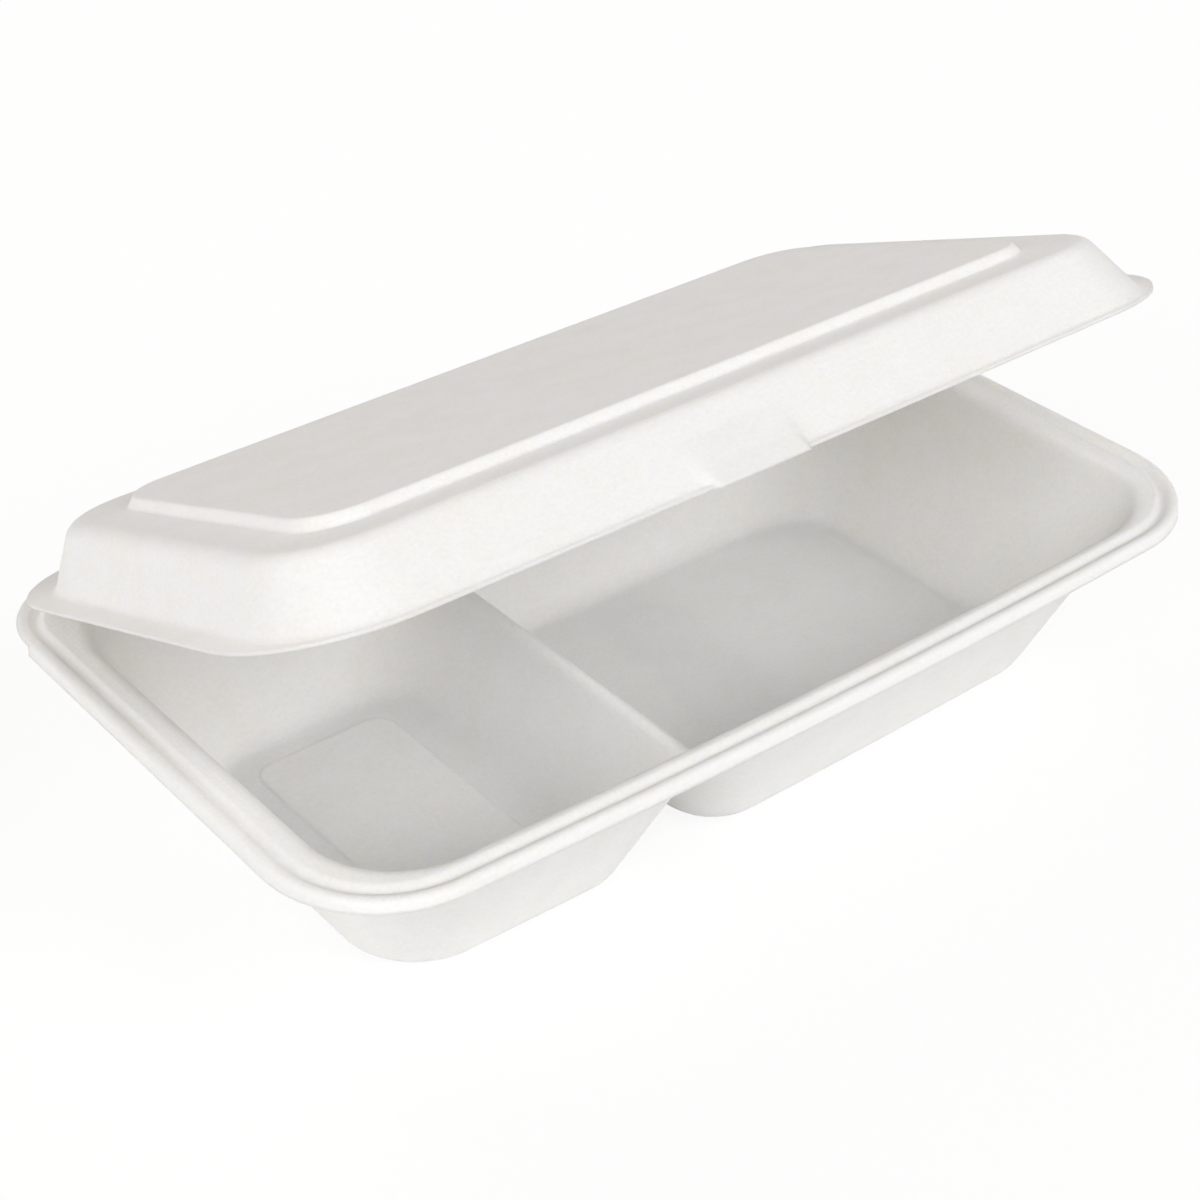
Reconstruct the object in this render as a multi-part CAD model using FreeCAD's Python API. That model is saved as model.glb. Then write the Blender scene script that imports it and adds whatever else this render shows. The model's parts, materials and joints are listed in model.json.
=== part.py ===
import FreeCAD, Part
import math
import os

# Two-compartment hinged takeaway container, moulded in plant fibre, with its lid part open.
# Millimetres and degrees. X runs along the hinge, Y from the front to the hinge, Z up.
# The origin is on the surface the tray stands on, at the middle of the rim's length and depth.

# Wall of the pressed fibre, the same all over
wall = 0.8

# Tray rim, seen from above
rim_length = 249.0
rim_depth = 149.8
rim_height = 47.0
rim_bow = 3.3
rim_front_corner = 29.0
rim_back_corner = 21.0

# Lip that turns down along the rim's front and ends
lip_drop = 3.0
lip_run = 0.4
lip_round = 1.3

# Groove pressed into the rim, between the lip and the compartments
groove_depth = 1.0
groove_slope = 1.5
groove_floor = 0.4
groove_from_end = 2.8
groove_from_front = 2.2
groove_from_back = 4.0

# Tray walls, extended up to the rim plane, as distances in from the rim's edge
mouth_from_end = 11.2
mouth_from_front = 8.2
mouth_from_back = 12.6
mouth_corner = 22.0
mouth_round = 4.0

# Tray walls, extended down to the floor, as distances in from the rim's edge
floor_from_end = 27.6
floor_from_front = 28.4
floor_from_back = 30.4
floor_corner = 19.0
floor_round = 6.0

# Divider: its two sides at the rim plane and at the floor, its crest and its ends
divider_left_top = -17.9
divider_left_foot = -34.2
divider_right_top = -24.1
divider_right_foot = -16.0
crest_round = 2.0
divider_end_round = 15.0

# Low pad on the left compartment's floor
pad_height = 0.35
pad_slope = 1.2
pad_left = -83.0
pad_right = -44.5
pad_front = -30.0
pad_back = 38.0
pad_corner = 6.0

# Lid, in its closed place
lid_length = 246.0
lid_short_of_rim = 5.0
lid_bow = 1.5
lid_front_corner = 30.0
lid_back_corner = 30.0
lid_foot_from_end = 5.7
lid_foot_from_front = 1.8
lid_foot_from_back = 7.7
lid_shoulder_height = 14.6
lid_top_from_end = 12.0
lid_top_from_front = 12.4
lid_top_from_back = 14.7
lid_foot_corner = 24.0
lid_top_corner = 19.0
lid_edge_round = 4.9
lid_foot_round = 1.6

# Raised panel on the lid
panel_height = 2.4
panel_inset = 24.6
panel_slope = 1.4
panel_corner = 12.0

# Latch at the lid's front: a swelling in the wall that runs out into a tongue past the lid's edge
latch_centre = -12.0
latch_width = 29.0
latch_taper = 3.0
latch_top = 8.8
latch_crease = 3.4
latch_swell = 1.0
latch_reach = 1.5
latch_slope = 0.7
latch_drop = 0.4

# Hinge
lid_angle = 21.5
hinge_gap = 0.3

rim_front = -rim_depth / 2
rim_back = rim_depth / 2
floor_top = wall
fold_y = rim_back + hinge_gap / 2
fold_z = rim_height + hinge_gap / 2
lid_z = rim_height + hinge_gap
lid_front = rim_front + lid_short_of_rim
shoulder_z = lid_z + lid_shoulder_height


def vec(x, y, z=0.0):
    return FreeCAD.Vector(x, y, z)


def unit(v):
    return vec(v.x, v.y) * (1 / math.hypot(v.x, v.y))


def arc(centre, radius, start, end):
    """Arc about centre from direction start to direction end, the short way."""
    middle = unit(start + end)
    return Part.Arc(centre + start * radius, centre + middle * radius, centre + end * radius)


def bow_radius(length, bow):
    """Radius of the arc that stands bow ahead of a straight line of this length."""
    return length * length / (8 * bow) + bow / 2


def outline(z, half_length, front, back, front_corner, back_corner, bow):
    """Closed wire at height z with straight ends and back, a bowed front and round corners.

    front is the bowed side's place at x = 0 and bow is its radius.
    """
    bow_centre = vec(0, front + bow, z)
    away = half_length - front_corner
    corner_y = front + bow - math.sqrt((bow - front_corner) ** 2 - away ** 2)
    c1 = vec(-away, corner_y, z)
    c2 = vec(away, corner_y, z)
    c3 = vec(half_length - back_corner, back - back_corner, z)
    c4 = vec(back_corner - half_length, back - back_corner, z)
    d1 = unit(c1 - bow_centre)
    d2 = unit(c2 - bow_centre)
    west, east, north = vec(-1, 0), vec(1, 0), vec(0, 1)
    curves = [
        arc(c1, front_corner, west, d1),
        arc(bow_centre, bow, d1, d2),
        arc(c2, front_corner, d2, east),
        Part.LineSegment(c2 + east * front_corner, c3 + east * back_corner),
        arc(c3, back_corner, east, north),
        Part.LineSegment(c3 + north * back_corner, c4 + north * back_corner),
        arc(c4, back_corner, north, west),
        Part.LineSegment(c4 + west * back_corner, c1 + west * front_corner),
    ]
    return Part.Wire([curve.toShape() for curve in curves])


def rim_loop(z, from_end, from_front, from_back, front_corner, back_corner):
    """Outline set in from the rim's edge by its own distance on each side."""
    bow = bow_radius(rim_length, rim_bow) - from_front
    return outline(z, rim_length / 2 - from_end, rim_front + from_front, rim_back - from_back,
                   front_corner, back_corner, bow)


def rim_inset(z, inset, back_inset):
    """Outline that follows the rim's edge at a distance, with its back set by itself."""
    return rim_loop(z, inset, inset, back_inset, rim_front_corner - inset, rim_back_corner - inset)


def loft(*wires):
    return Part.makeLoft(list(wires), True, True)


def block(x0, x1, y0, y1, z0, z1):
    return Part.makeBox(x1 - x0, y1 - y0, z1 - z0, vec(x0, y0, z0))


def edges_at(shape, z):
    """Edges of the shape that lie in the plane at height z."""
    return [e for e in shape.Edges if abs(e.BoundBox.ZMin - z) < 1e-4 and abs(e.BoundBox.ZMax - z) < 1e-4]


def slope_at(z, at_rim, at_floor):
    """Place at height z on a straight line from the rim plane to the floor."""
    return at_rim + (at_floor - at_rim) * (rim_height - z) / (rim_height - floor_top)


def divider(grow):
    """Ridge between the compartments, thinner by grow on each side."""
    low = -rim_height
    crossing = (divider_left_top - divider_right_top + 2 * grow) / (
        divider_left_top - divider_left_foot + divider_right_foot - divider_right_top)
    top = rim_height - crossing * (rim_height - floor_top)
    crest_x = slope_at(top, divider_left_top, divider_left_foot) + grow
    left_x = slope_at(low, divider_left_top, divider_left_foot) + grow
    right_x = slope_at(low, divider_right_top, divider_right_foot) - grow
    profile = Part.makePolygon([vec(left_x, -rim_depth, low), vec(crest_x, -rim_depth, top),
                                vec(right_x, -rim_depth, low), vec(left_x, -rim_depth, low)])
    ridge = Part.Face(profile).extrude(vec(0, 2 * rim_depth, 0))
    crest = [e for e in ridge.Edges if e.BoundBox.ZMin > top - 1e-4]
    return ridge.makeFillet(crest_round - grow, crest)


def hollow(grow):
    """Space inside the tray, grown by a distance, with its mouth flared to the rim plane."""
    rim_z = rim_height - grow
    floor_z = floor_top - grow

    def loop(z):
        return rim_loop(z, slope_at(z, mouth_from_end, floor_from_end) - grow,
                        slope_at(z, mouth_from_front, floor_from_front) - grow,
                        slope_at(z, mouth_from_back, floor_from_back) - grow,
                        slope_at(z, mouth_corner, floor_corner) + grow,
                        slope_at(z, mouth_corner, floor_corner) + grow)

    space = loft(loop(floor_z), loop(rim_z)).cut(divider(grow))
    ends = [e for e in space.Edges if e.BoundBox.ZLength > 0.1 and e.BoundBox.YLength < rim_depth / 4
            and e.BoundBox.XMin > divider_left_foot - wall and e.BoundBox.XMax < divider_right_foot + wall
            and e.BoundBox.ZMin > floor_z - 1e-4]
    space = space.makeFillet(divider_end_round + grow, ends)
    space = space.makeFillet(floor_round + grow, edges_at(space, floor_z))
    above = block(-rim_length, rim_length, -rim_depth, rim_depth, rim_z, rim_height + rim_height)
    space = space.fuse(above)
    mouth = [e for e in edges_at(space, rim_z) if abs(e.BoundBox.XMin) < rim_length / 2 - 1
             and abs(e.BoundBox.XMax) < rim_length / 2 - 1]
    return space.makeFillet(mouth_round - grow, mouth)


def groove(lower):
    """Ring cut into the rim's top, or the ridge below it when lowered by the wall."""
    top = rim_height - lower
    foot = top - groove_depth

    def ring(z, step):
        return rim_loop(z, groove_from_end + step, groove_from_front + step, groove_from_back + step,
                        rim_front_corner - groove_from_end - step, rim_back_corner - groove_from_back - step)

    outer = loft(ring(foot, groove_slope), ring(top, 0))
    inner = loft(ring(foot, groove_slope + groove_floor), ring(top, 2 * groove_slope + groove_floor))
    return outer.cut(inner)


def pad():
    """Low raised area on the left compartment's floor."""
    def ring(z, inset):
        x0, x1 = pad_left + inset, pad_right - inset
        y0, y1 = pad_front + inset, pad_back - inset
        base = block(x0, x1, y0, y1, z, z + 1)
        radius = pad_corner - inset
        upright = [e for e in base.Edges if e.BoundBox.ZLength > 0.5]
        return edges_wire(base.makeFillet(radius, upright), z)

    return loft(ring(floor_top - wall / 2, 0), ring(floor_top + pad_height, pad_slope))


def edges_wire(shape, z):
    """Closed wire of the shape's edges at height z."""
    return Part.Wire(Part.__sortEdges__(edges_at(shape, z)))


def lip_block(thin, foot_z, top_z, back):
    """Block with the lip's sloping sides and rounded top edge, set in by a distance."""
    def ring(z):
        inset = lip_run * (z - rim_height + lip_drop) / lip_drop + thin
        return rim_inset(z, inset, back)

    body = loft(ring(foot_z), ring(top_z))
    edges = [e for e in edges_at(body, top_z) if e.BoundBox.YMin < rim_back - back - 1e-3]
    return body.makeFillet(lip_round - thin, edges)


def make_tray():
    lip_foot = rim_height - lip_drop
    under = rim_height - wall
    lip_end = rim_back - rim_back_corner - wall
    below_rim = lip_block(wall, lip_foot - 1, under, -rim_back_corner)
    below_back = block(-rim_length, rim_length, lip_end, rim_depth, lip_foot - 1, under)
    rim = lip_block(0, lip_foot, rim_height, 0).cut([below_rim, below_back])
    inset = lip_run + lip_round
    inside_lip = loft(rim_inset(-1, inset, wall), rim_inset(rim_height, inset, wall))
    body = hollow(wall).common(inside_lip)
    tray = rim.fuse([body, groove(wall)]).cut(groove(0)).cut(hollow(0)).fuse(pad())
    return tray.removeSplitter()


def lid_loop(z, from_end, from_front, from_back, front_corner, back_corner):
    """Outline set in from the lid's edge by its own distance on each side."""
    bow = bow_radius(lid_length, lid_bow) - from_front
    return outline(z, lid_length / 2 - from_end, lid_front + from_front, rim_back - from_back,
                   front_corner, back_corner, bow)


def lid_form(thin, foot_z, foot_round):
    """Solid inside the lid's outer face, or its inner face when thinner by the wall."""
    top = shoulder_z - thin
    foot_corner = lid_foot_corner - thin
    top_corner = lid_top_corner - thin
    foot = lid_loop(foot_z, lid_foot_from_end + thin, lid_foot_from_front + thin, lid_foot_from_back + thin,
                    foot_corner, foot_corner)
    shoulder = lid_loop(top, lid_top_from_end + thin, lid_top_from_front + thin, lid_top_from_back + thin,
                        top_corner, top_corner)
    form = loft(foot, shoulder)
    form = form.makeFillet(lid_edge_round - thin, edges_at(form, top))
    form = form.fuse(block(-lid_length, lid_length, -rim_depth, rim_depth, -rim_height, foot_z))
    form = form.makeFillet(foot_round, [e for e in edges_at(form, foot_z) if e.BoundBox.YMin > lid_front
                                        and e.BoundBox.YMax < rim_back and e.BoundBox.XMax < lid_length / 2])
    low, high = panel_inset + thin, panel_inset + panel_slope + thin
    panel = loft(lid_loop(top, low, low, low, panel_corner, panel_corner),
                 lid_loop(top + panel_height, high, high, high, panel_corner, panel_corner))
    return form.fuse(panel)


def wall_front(z):
    """Place of the lid's front wall at height z."""
    rise = (z - lid_z - wall) / (lid_shoulder_height - wall)
    return lid_front + lid_foot_from_front + (lid_top_from_front - lid_foot_from_front) * rise


def latch(thin):
    """Solid below the latch's outer face, or its inner face when moved in by the wall."""
    move = thin * math.sqrt(0.5)
    inside = lid_front + lid_top_from_front + lid_edge_round
    crease_z = lid_z + latch_crease
    crease_y = wall_front(crease_z) - latch_swell
    tip_y = lid_front - latch_reach
    tip_z = crease_z - (crease_y - tip_y) * latch_slope
    foot_z = lid_z - latch_drop

    def ring(z, front, side):
        half = latch_width / 2 - move
        plan = [(-half, inside), (-half, side), (latch_taper - half, front), (half - latch_taper, front),
                (half, side), (half, inside), (-half, inside)]
        return Part.makePolygon([vec(latch_centre + x, y + move, z - move) for x, y in plan])

    def ramp(z):
        return tip_y + (z - tip_z) / latch_slope

    top_z = lid_z + latch_top
    top = ring(top_z, wall_front(top_z) - 0.01, wall_front(top_z))
    crease = ring(crease_z, crease_y, wall_front(crease_z))
    low_z = foot_z - 2 * wall
    low = ring(low_z, ramp(low_z), wall_front(lid_z))
    form = loft(crease, top).fuse(loft(low, crease))
    if thin:
        return form
    tongue = form.cut(block(-lid_length, lid_length, -rim_depth, tip_y, -rim_height, rim_height + lid_z))
    tongue = tongue.cut(block(-lid_length, lid_length, -rim_depth, rim_depth, -rim_height, foot_z))
    return tongue.cut(block(-lid_length, lid_length, lid_front, rim_depth, -rim_height, lid_z))


def make_lid():
    lid_edge = lid_loop(lid_z, 0, 0, 0, lid_front_corner, lid_back_corner)
    flange = Part.Face(lid_edge).extrude(vec(0, 0, wall))
    outer = lid_form(0, lid_z + wall, lid_foot_round).common(Part.Face(lid_edge).extrude(vec(0, 0, rim_height)))
    lid = flange.fuse([outer, latch(0)]).cut([lid_form(wall, lid_z, lid_foot_round + wall), latch(wall)])
    lid = lid.removeSplitter()
    lid.rotate(vec(0, fold_y, fold_z), vec(1, 0, 0), -lid_angle)
    return lid


os.makedirs("parts", exist_ok=True)
for name, shape in (("tray", make_tray()), ("lid", make_lid())):
    shape.exportStep("parts/" + name + ".step")
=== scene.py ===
"""Dresses the two-compartment moulded-fibre takeaway container: finish, folded crease, studio and camera."""
import json
import math

import bmesh
import bpy
from mathutils import Matrix, Vector


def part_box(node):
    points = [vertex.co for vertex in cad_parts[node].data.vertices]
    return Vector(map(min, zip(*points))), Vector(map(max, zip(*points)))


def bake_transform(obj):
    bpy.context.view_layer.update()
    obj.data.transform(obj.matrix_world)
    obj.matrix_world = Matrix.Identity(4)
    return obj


bl_info = {
    "name": "Moulded Fibre Takeaway Container",
    "version": (1, 0, 0),
    "blender": (4, 5, 0),
    "location": "3D View > Sidebar > Container",
    "description": "Pressed-fibre finish, folded crease and studio for a hinged food container",
    "category": "Object",
}

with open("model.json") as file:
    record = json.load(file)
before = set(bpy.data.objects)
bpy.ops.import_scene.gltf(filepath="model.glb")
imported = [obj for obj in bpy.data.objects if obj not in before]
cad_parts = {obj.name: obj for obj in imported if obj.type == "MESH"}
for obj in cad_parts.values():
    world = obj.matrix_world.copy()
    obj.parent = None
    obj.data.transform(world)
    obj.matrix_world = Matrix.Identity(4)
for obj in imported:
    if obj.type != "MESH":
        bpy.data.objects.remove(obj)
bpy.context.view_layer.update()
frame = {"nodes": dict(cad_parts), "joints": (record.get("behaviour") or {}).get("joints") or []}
HINGE = frame["joints"][0]
LID_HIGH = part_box("lid")[1]
TRAY_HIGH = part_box("tray")[1]
OPEN_ANGLE = -math.radians(HINGE["range_deg"][0])

# Wall of the pressed fibre, and the gap that the crease bridges, in metres
WALL = 0.0008
GAP = 0.0003

# Crease, in metres: it stops where the lid's back corners begin, and its fold hangs a little low
CREASE_FROM_END = 0.031
CREASE_SAG = 0.0001
CREASE_STEPS = 40

# Pulp: width of its cloudy patches in millimetres, then depths of its surface and of light in it, in metres
CLOUD_WIDTH = 14
SCREEN_DEPTH = 0.00004
FIBRE_DEPTH = 0.00018
LIGHT_DEPTH = 0.0015

# Bands of a wave texture at scale 1 repeat at this distance
WAVE_REPEAT = 0.31416

# Paper floor: radius in metres, brightness seen directly (1 is white) and its share over the lit paper
FLOOR_RADIUS = 6.0
FLOOR_GLOW = 1.03
GLOW_SHARE = 0.86

# Soft lamps round the object: name, azimuth from the front towards the right, elevation, strength, colour
LAMPS = (
    ("front_right", 25, 35, 1.58, "FFFFFF"),
    ("front_left", -50, 35, 0.86, "FFFFFF"),
    ("left_side", -90, 20, 0.92, "FFFFFF"),
    ("behind", 180, 45, 0.78, "FFF8F3"),
)
LAMP_DISTANCE = 1.5

# The photograph's camera: angles in degrees, distance and the point at rim height it faces in metres
CAMERA_AZIMUTH = -37.16
CAMERA_ELEVATION = 33.54
CAMERA_ROLL = -1.28
CAMERA_DISTANCE = 0.53997
CAMERA_TARGET = Vector((-0.01962, -0.01045, TRAY_HIGH.z))
CAMERA_SHIFT = 0.0125


def linear(hex_colour):
    """sRGB hex such as "F4F1EB" as linear RGBA."""
    channels = [int(hex_colour[i:i + 2], 16) / 255 for i in (0, 2, 4)]
    return [c / 12.92 if c <= 0.04045 else ((c + 0.055) / 1.055) ** 2.4 for c in channels] + [1.0]


def direction(azimuth, elevation):
    """Unit vector from the object, with azimuth from the front towards the right, both in degrees."""
    a, e = math.radians(azimuth), math.radians(elevation)
    return Vector((math.sin(a) * math.cos(e), -math.cos(a) * math.cos(e), math.sin(e)))


def add_node(tree, kind, links=None, settings=None, **values):
    """A node with its properties set, its sockets filled and its inputs linked."""
    node = tree.nodes.new(kind)
    for name, value in (settings or {}).items():
        setattr(node, name, value)
    for name, value in values.items():
        node.inputs[name.replace("_", " ")].default_value = value
    for name, source in (links or {}).items():
        tree.links.new(source, node.inputs[name])
    return node


def noise(tree, place, **values):
    """Noise texture's value at a place."""
    return add_node(tree, "ShaderNodeTexNoise", {"Vector": place}, **values).outputs["Fac"]


def mean(tree, first, second, share):
    """Two values mixed, with the second one's share."""
    mixed = add_node(tree, "ShaderNodeMix", {"A": first, "B": second}, {"data_type": "FLOAT"}, Factor=share)
    return mixed.outputs["Result"]


def new_material(name):
    material = bpy.data.materials.new(name)
    material.use_nodes = True
    material.node_tree.nodes.clear()
    return material, material.node_tree


class FibreLook(bpy.types.PropertyGroup):
    """Finish of the pressed fibre."""
    colour: bpy.props.StringProperty(
        name="Fibre colour", description="Colour of the bleached pulp, sRGB hex", default="FAF9F7")
    shade: bpy.props.StringProperty(
        name="Thin pulp colour", description="Colour where the pulp lies thinner", default="F4F2EE")
    grain: bpy.props.FloatProperty(
        name="Grain", description="Width of one clump of fibres, in millimetres", default=0.9, min=0.2, max=5)
    mesh: bpy.props.FloatProperty(
        name="Forming screen pitch", description="Wire spacing that the screen leaves, in millimetres",
        default=1.1, min=0.3, max=5)
    roughness: bpy.props.FloatProperty(
        name="Roughness", description="Roughness of the uncoated fibre", default=0.86, min=0, max=1,
        subtype="FACTOR")
    edge: bpy.props.FloatProperty(
        name="Edge rounding", description="Radius that the mould leaves on sharp edges", default=0.0012,
        min=0, unit="LENGTH")


class CreaseSizes(bpy.types.PropertyGroup):
    """Sizes of the folded crease that joins the lid to the tray."""
    thickness: bpy.props.FloatProperty(
        name="Thickness", description="Thickness of the pressed crease", default=0.0005, min=0.0001,
        unit="LENGTH")
    bulge: bpy.props.FloatProperty(
        name="Bulge", description="How far the folded crease stands out behind the hinge line",
        default=0.0005, min=0, unit="LENGTH")
    overlap: bpy.props.FloatProperty(
        name="Overlap", description="How far the crease runs into each flange", default=0.0008, min=0,
        unit="LENGTH")


class StudioLook(bpy.types.PropertyGroup):
    """Floor, light and camera."""
    floor: bpy.props.StringProperty(
        name="Floor colour", description="Colour of the studio floor, sRGB hex", default="F2F2F1")
    ambient: bpy.props.FloatProperty(
        name="Ambient light", description="Strength of the even light from all round", default=0.15, min=0)
    level: bpy.props.FloatProperty(
        name="Light level", description="Strength of all the lamps together", default=1.0, min=0)
    softness: bpy.props.FloatProperty(
        name="Lamp size", description="Angle that each lamp fills", default=math.radians(38), subtype="ANGLE")
    lens: bpy.props.FloatProperty(
        name="Lens", description="Focal length on a 36 mm sensor, in millimetres", default=72.8)


def pressed_fibre(look):
    """Bleached sugarcane pulp, pressed between heated moulds: matt, off-white, with clumps of fibre and the
    faint print of the forming screen."""
    material, tree = new_material("pressed_pulp_fibre")
    place = add_node(tree, "ShaderNodeTexCoord").outputs["Object"]
    millimetres = add_node(tree, "ShaderNodeMapping", {"Vector": place},
                           Scale=(1000, 1000, 1000)).outputs["Vector"]
    along_fibres = add_node(tree, "ShaderNodeMapping", {"Vector": millimetres}, Scale=(0.25, 1.3, 1.3),
                            Rotation=(0.2, 0.3, 0.5)).outputs["Vector"]
    clouds = noise(tree, millimetres, Scale=1 / CLOUD_WIDTH, Detail=3.0, Roughness=0.55)
    clumps = noise(tree, millimetres, Scale=1 / look.grain, Detail=4.0, Roughness=0.62)
    fibres = noise(tree, along_fibres, Scale=1.6, Detail=3.0, Roughness=0.5, Distortion=0.8)

    # Thicker and thinner pulp differ a little in colour
    spread = add_node(tree, "ShaderNodeMapRange", {"Value": mean(tree, clouds, clumps, 0.6)},
                      From_Min=0.36, From_Max=0.62)
    colour = add_node(tree, "ShaderNodeMix", {"Factor": spread.outputs["Result"]}, {"data_type": "RGBA"})
    colour.inputs["A"].default_value = linear(look.shade)
    colour.inputs["B"].default_value = linear(look.colour)

    # The crossed wires of the forming screen leave a faint print
    wires_along, wires_across = (
        add_node(tree, "ShaderNodeTexWave", {"Vector": millimetres}, {"bands_direction": axis},
                 Scale=WAVE_REPEAT / look.mesh, Distortion=0.6, Detail=1.0, Detail_Scale=0.5).outputs["Fac"]
        for axis in "XY")
    screen = add_node(tree, "ShaderNodeMath", {0: wires_along, 1: wires_across}, {"operation": "MULTIPLY"})

    soft_edges = add_node(tree, "ShaderNodeBevel", settings={"samples": 4}, Radius=look.edge)
    screen_print = add_node(tree, "ShaderNodeBump", {"Height": screen.outputs["Value"],
                                                     "Normal": soft_edges.outputs["Normal"]},
                            Strength=0.25, Distance=SCREEN_DEPTH)
    surface = add_node(tree, "ShaderNodeBump", {"Height": mean(tree, clumps, fibres, 0.45),
                                                "Normal": screen_print.outputs["Normal"]},
                       Strength=0.7, Distance=FIBRE_DEPTH)
    skin = add_node(tree, "ShaderNodeBsdfPrincipled", {"Base Color": colour.outputs["Result"],
                                                       "Normal": surface.outputs["Normal"]},
                    Roughness=look.roughness, IOR=1.47, Specular_IOR_Level=0.35)
    # Light enters the pulp a little way and spreads, which softens the shading
    skin.inputs["Subsurface Weight"].default_value = 1.0
    skin.inputs["Subsurface Radius"].default_value = (1.0, 0.93, 0.82)
    skin.inputs["Subsurface Scale"].default_value = LIGHT_DEPTH
    add_node(tree, "ShaderNodeOutputMaterial", {"Surface": skin.outputs["BSDF"]})
    return material


class CONTAINER_OT_fibre(bpy.types.Operator):
    """Gives the tray and the lid their pressed-fibre finish"""
    bl_idname = "container.fibre"
    bl_label = "Finish Tray and Lid"

    def execute(self, context):
        material = pressed_fibre(context.scene.container_fibre)
        for name in ("tray", "lid"):
            mesh = frame["nodes"][name].data
            mesh.materials.clear()
            mesh.materials.append(material)
        return {"FINISHED"}


class CONTAINER_OT_crease(bpy.types.Operator):
    """Joins the lid to the tray with the folded crease along the back"""
    bl_idname = "container.crease"
    bl_label = "Make Crease"

    def execute(self, context):
        sizes = context.scene.container_crease
        fold = Vector(HINGE["pos_m"])
        half_length = LID_HIGH.x - CREASE_FROM_END
        up = Vector((0, math.sin(OPEN_ANGLE), math.cos(OPEN_ANGLE)))
        forward = Vector((0, -math.cos(OPEN_ANGLE), math.sin(OPEN_ANGLE)))
        tray_middle = Vector((0, TRAY_HIGH.y, TRAY_HIGH.z - WALL / 2))
        lid_middle = fold + forward * (GAP / 2) + up * ((WALL + GAP) / 2)
        path = [tray_middle - Vector((0, sizes.overlap, 0)), tray_middle,
                fold + Vector((0, sizes.bulge, -CREASE_SAG)),
                lid_middle, lid_middle + forward * sizes.overlap]
        shape = bmesh.new()
        verts = [shape.verts.new((-half_length, p.y, p.z)) for p in path]
        edges = [shape.edges.new(pair) for pair in zip(verts, verts[1:])]
        for _ in range(CREASE_STEPS):
            made = bmesh.ops.extrude_edge_only(shape, edges=edges)["geom"]
            edges = [g for g in made if isinstance(g, bmesh.types.BMEdge)
                     and abs(g.verts[0].co.x - g.verts[1].co.x) < 1e-9]
            moved = [g for g in made if isinstance(g, bmesh.types.BMVert)]
            bmesh.ops.translate(shape, verts=moved, vec=(2 * half_length / CREASE_STEPS, 0, 0))
        bmesh.ops.recalc_face_normals(shape, faces=shape.faces[:])
        mesh = bpy.data.meshes.new("hinge_crease")
        shape.to_mesh(mesh)
        shape.free()
        for face in mesh.polygons:
            face.use_smooth = True
        mesh.materials.append(bpy.data.materials["pressed_pulp_fibre"])
        piece = bpy.data.objects.new("hinge_crease", mesh)
        context.scene.collection.objects.link(piece)
        wall = piece.modifiers.new("wall", "SOLIDIFY")
        wall.thickness, wall.offset = sizes.thickness, 0
        smooth = piece.modifiers.new("smooth", "SUBSURF")
        smooth.levels = smooth.render_levels = 2
        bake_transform(piece)
        return {"FINISHED"}


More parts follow.
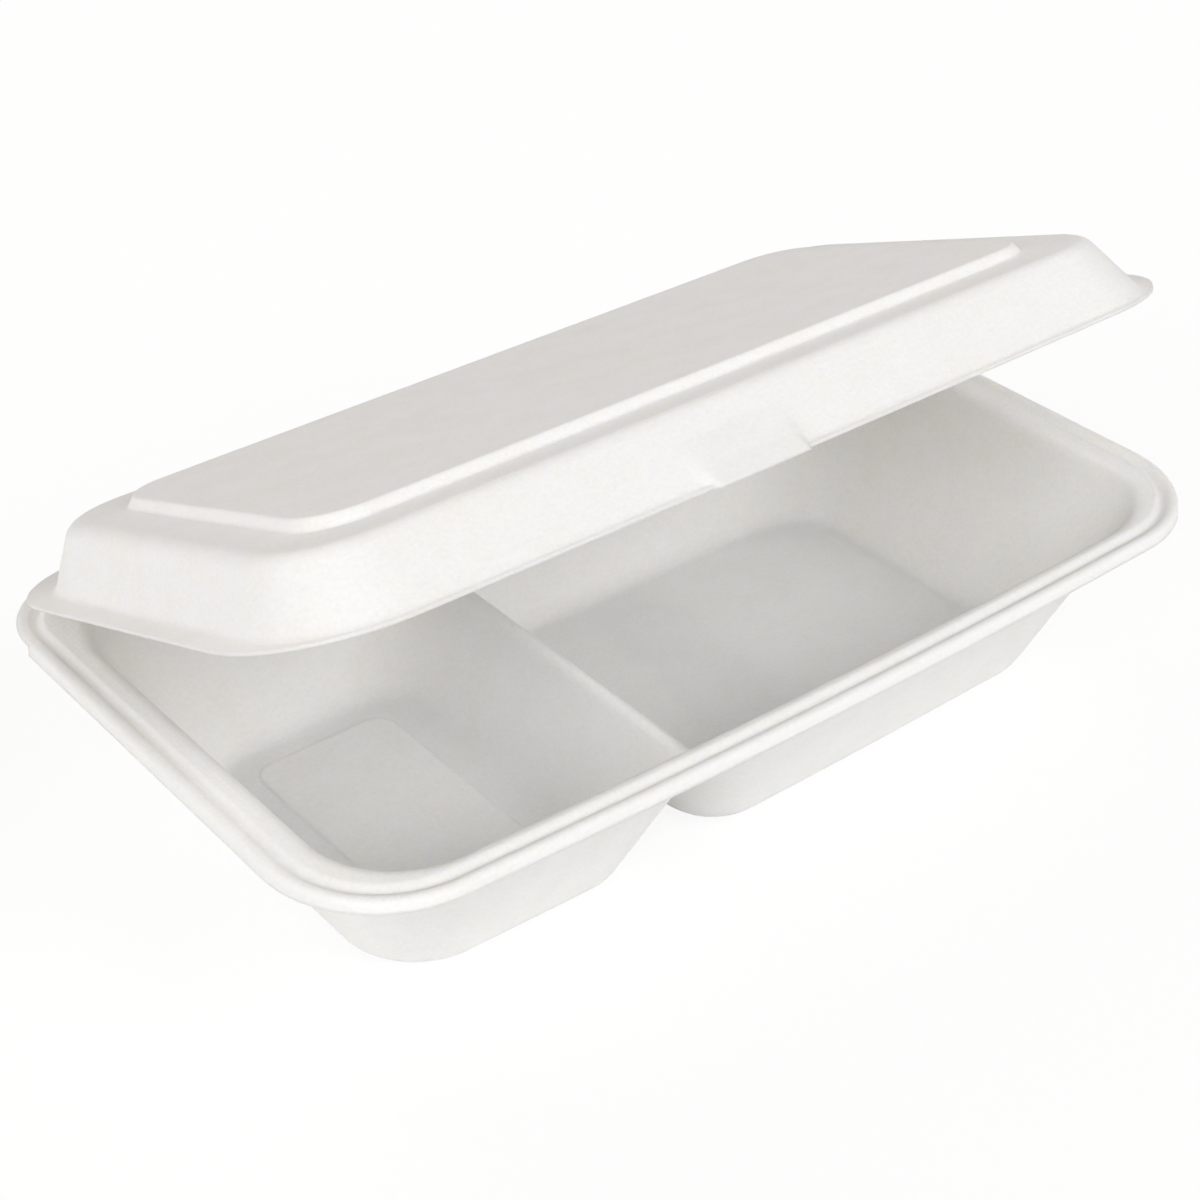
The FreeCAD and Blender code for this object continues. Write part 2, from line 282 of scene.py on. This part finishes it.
class CONTAINER_OT_studio(bpy.types.Operator):
    """Sets the floor, the soft light and the camera"""
    bl_idname = "container.studio"
    bl_label = "Set Studio"

    def execute(self, context):
        look = context.scene.container_studio
        self.floor(context, look)
        self.light(context, look)
        self.camera(context, look)
        return {"FINISHED"}

    def floor(self, context, look):
        shape = bmesh.new()
        bmesh.ops.create_circle(shape, cap_ends=True, segments=64, radius=FLOOR_RADIUS)
        mesh = bpy.data.meshes.new("studio_floor")
        shape.to_mesh(mesh)
        shape.free()
        floor = bpy.data.objects.new("studio_floor", mesh)
        context.scene.collection.objects.link(floor)
        # Matt white paper: it lights the object as paper does, and shows nearly white with a soft shadow
        material, tree = new_material("studio_paper")
        paper = add_node(tree, "ShaderNodeBsdfDiffuse", Color=linear(look.floor))
        glow = add_node(tree, "ShaderNodeEmission", Color=(1, 1, 1, 1), Strength=FLOOR_GLOW)
        seen = add_node(tree, "ShaderNodeLightPath").outputs["Is Camera Ray"]
        share = add_node(tree, "ShaderNodeMath", {0: seen}, {"operation": "MULTIPLY"})
        share.inputs[1].default_value = GLOW_SHARE
        mixed = add_node(tree, "ShaderNodeMixShader", {0: share.outputs["Value"], 1: paper.outputs["BSDF"],
                                                       2: glow.outputs["Emission"]})
        add_node(tree, "ShaderNodeOutputMaterial", {"Surface": mixed.outputs["Shader"]})
        mesh.materials.append(material)

    def light(self, context, look):
        world = bpy.data.worlds.new("studio_world")
        context.scene.world = world
        world.use_nodes = True
        tree = world.node_tree
        tree.nodes.clear()
        even = add_node(tree, "ShaderNodeBackground", Color=linear("FFF9F4"), Strength=look.ambient)
        white = add_node(tree, "ShaderNodeBackground", Color=(1, 1, 1, 1), Strength=1.0)
        seen = add_node(tree, "ShaderNodeLightPath").outputs["Is Camera Ray"]
        mixed = add_node(tree, "ShaderNodeMixShader", {0: seen, 1: even.outputs["Background"],
                                                       2: white.outputs["Background"]})
        add_node(tree, "ShaderNodeOutputWorld", {"Surface": mixed.outputs["Shader"]})
        for name, azimuth, elevation, strength, colour in LAMPS:
            lamp = bpy.data.lights.new(name, "SUN")
            lamp.energy, lamp.angle, lamp.color = strength * look.level, look.softness, linear(colour)[:3]
            towards = direction(azimuth, elevation)
            light = bpy.data.objects.new(name, lamp)
            light.rotation_euler = towards.to_track_quat("Z", "Y").to_euler()
            light.location = towards * LAMP_DISTANCE
            context.scene.collection.objects.link(light)

    def camera(self, context, look):
        lens = bpy.data.cameras.new("photo_camera")
        lens.sensor_width, lens.lens = 36.0, look.lens
        lens.shift_x, lens.shift_y = CAMERA_SHIFT, 0.0
        lens.clip_start, lens.clip_end = 0.01, 100.0
        roll = math.radians(CAMERA_ROLL)
        back = direction(CAMERA_AZIMUTH, CAMERA_ELEVATION)
        right = Vector((0, 0, 1)).cross(back).normalized()
        up = back.cross(right)
        across = right * math.cos(roll) + up * math.sin(roll)
        upward = up * math.cos(roll) - right * math.sin(roll)
        turn = Matrix((across, upward, back)).transposed().to_4x4()
        camera = bpy.data.objects.new("photo_camera", lens)
        camera.matrix_world = Matrix.Translation(CAMERA_TARGET + back * CAMERA_DISTANCE) @ turn
        context.scene.collection.objects.link(camera)
        context.scene.camera = camera
        context.scene.view_settings.view_transform = "Standard"


class CONTAINER_PT_panel(bpy.types.Panel):
    """Lists the container's settings and steps"""
    bl_label = "Takeaway Container"
    bl_idname = "CONTAINER_PT_panel"
    bl_space_type = "VIEW_3D"
    bl_region_type = "UI"
    bl_category = "Container"

    def draw(self, context):
        scene = context.scene
        groups = (
            (scene.container_fibre, ("colour", "shade", "grain", "mesh", "roughness", "edge"),
             CONTAINER_OT_fibre),
            (scene.container_crease, ("thickness", "bulge", "overlap"), CONTAINER_OT_crease),
            (scene.container_studio, ("floor", "ambient", "level", "softness", "lens"), CONTAINER_OT_studio),
        )
        for group, names, operator in groups:
            box = self.layout.box()
            for name in names:
                box.prop(group, name)
            box.operator(operator.bl_idname)


CLASSES = (FibreLook, CreaseSizes, StudioLook, CONTAINER_OT_fibre, CONTAINER_OT_crease, CONTAINER_OT_studio,
           CONTAINER_PT_panel)


def register():
    for cls in CLASSES:
        bpy.utils.register_class(cls)
    bpy.types.Scene.container_fibre = bpy.props.PointerProperty(type=FibreLook)
    bpy.types.Scene.container_crease = bpy.props.PointerProperty(type=CreaseSizes)
    bpy.types.Scene.container_studio = bpy.props.PointerProperty(type=StudioLook)


def unregister():
    del bpy.types.Scene.container_studio
    del bpy.types.Scene.container_crease
    del bpy.types.Scene.container_fibre
    for cls in reversed(CLASSES):
        bpy.utils.unregister_class(cls)


def main():
    register()
    bpy.ops.container.fibre()
    bpy.ops.container.crease()
    bpy.ops.container.studio()


if __name__ == "__main__":
    main()
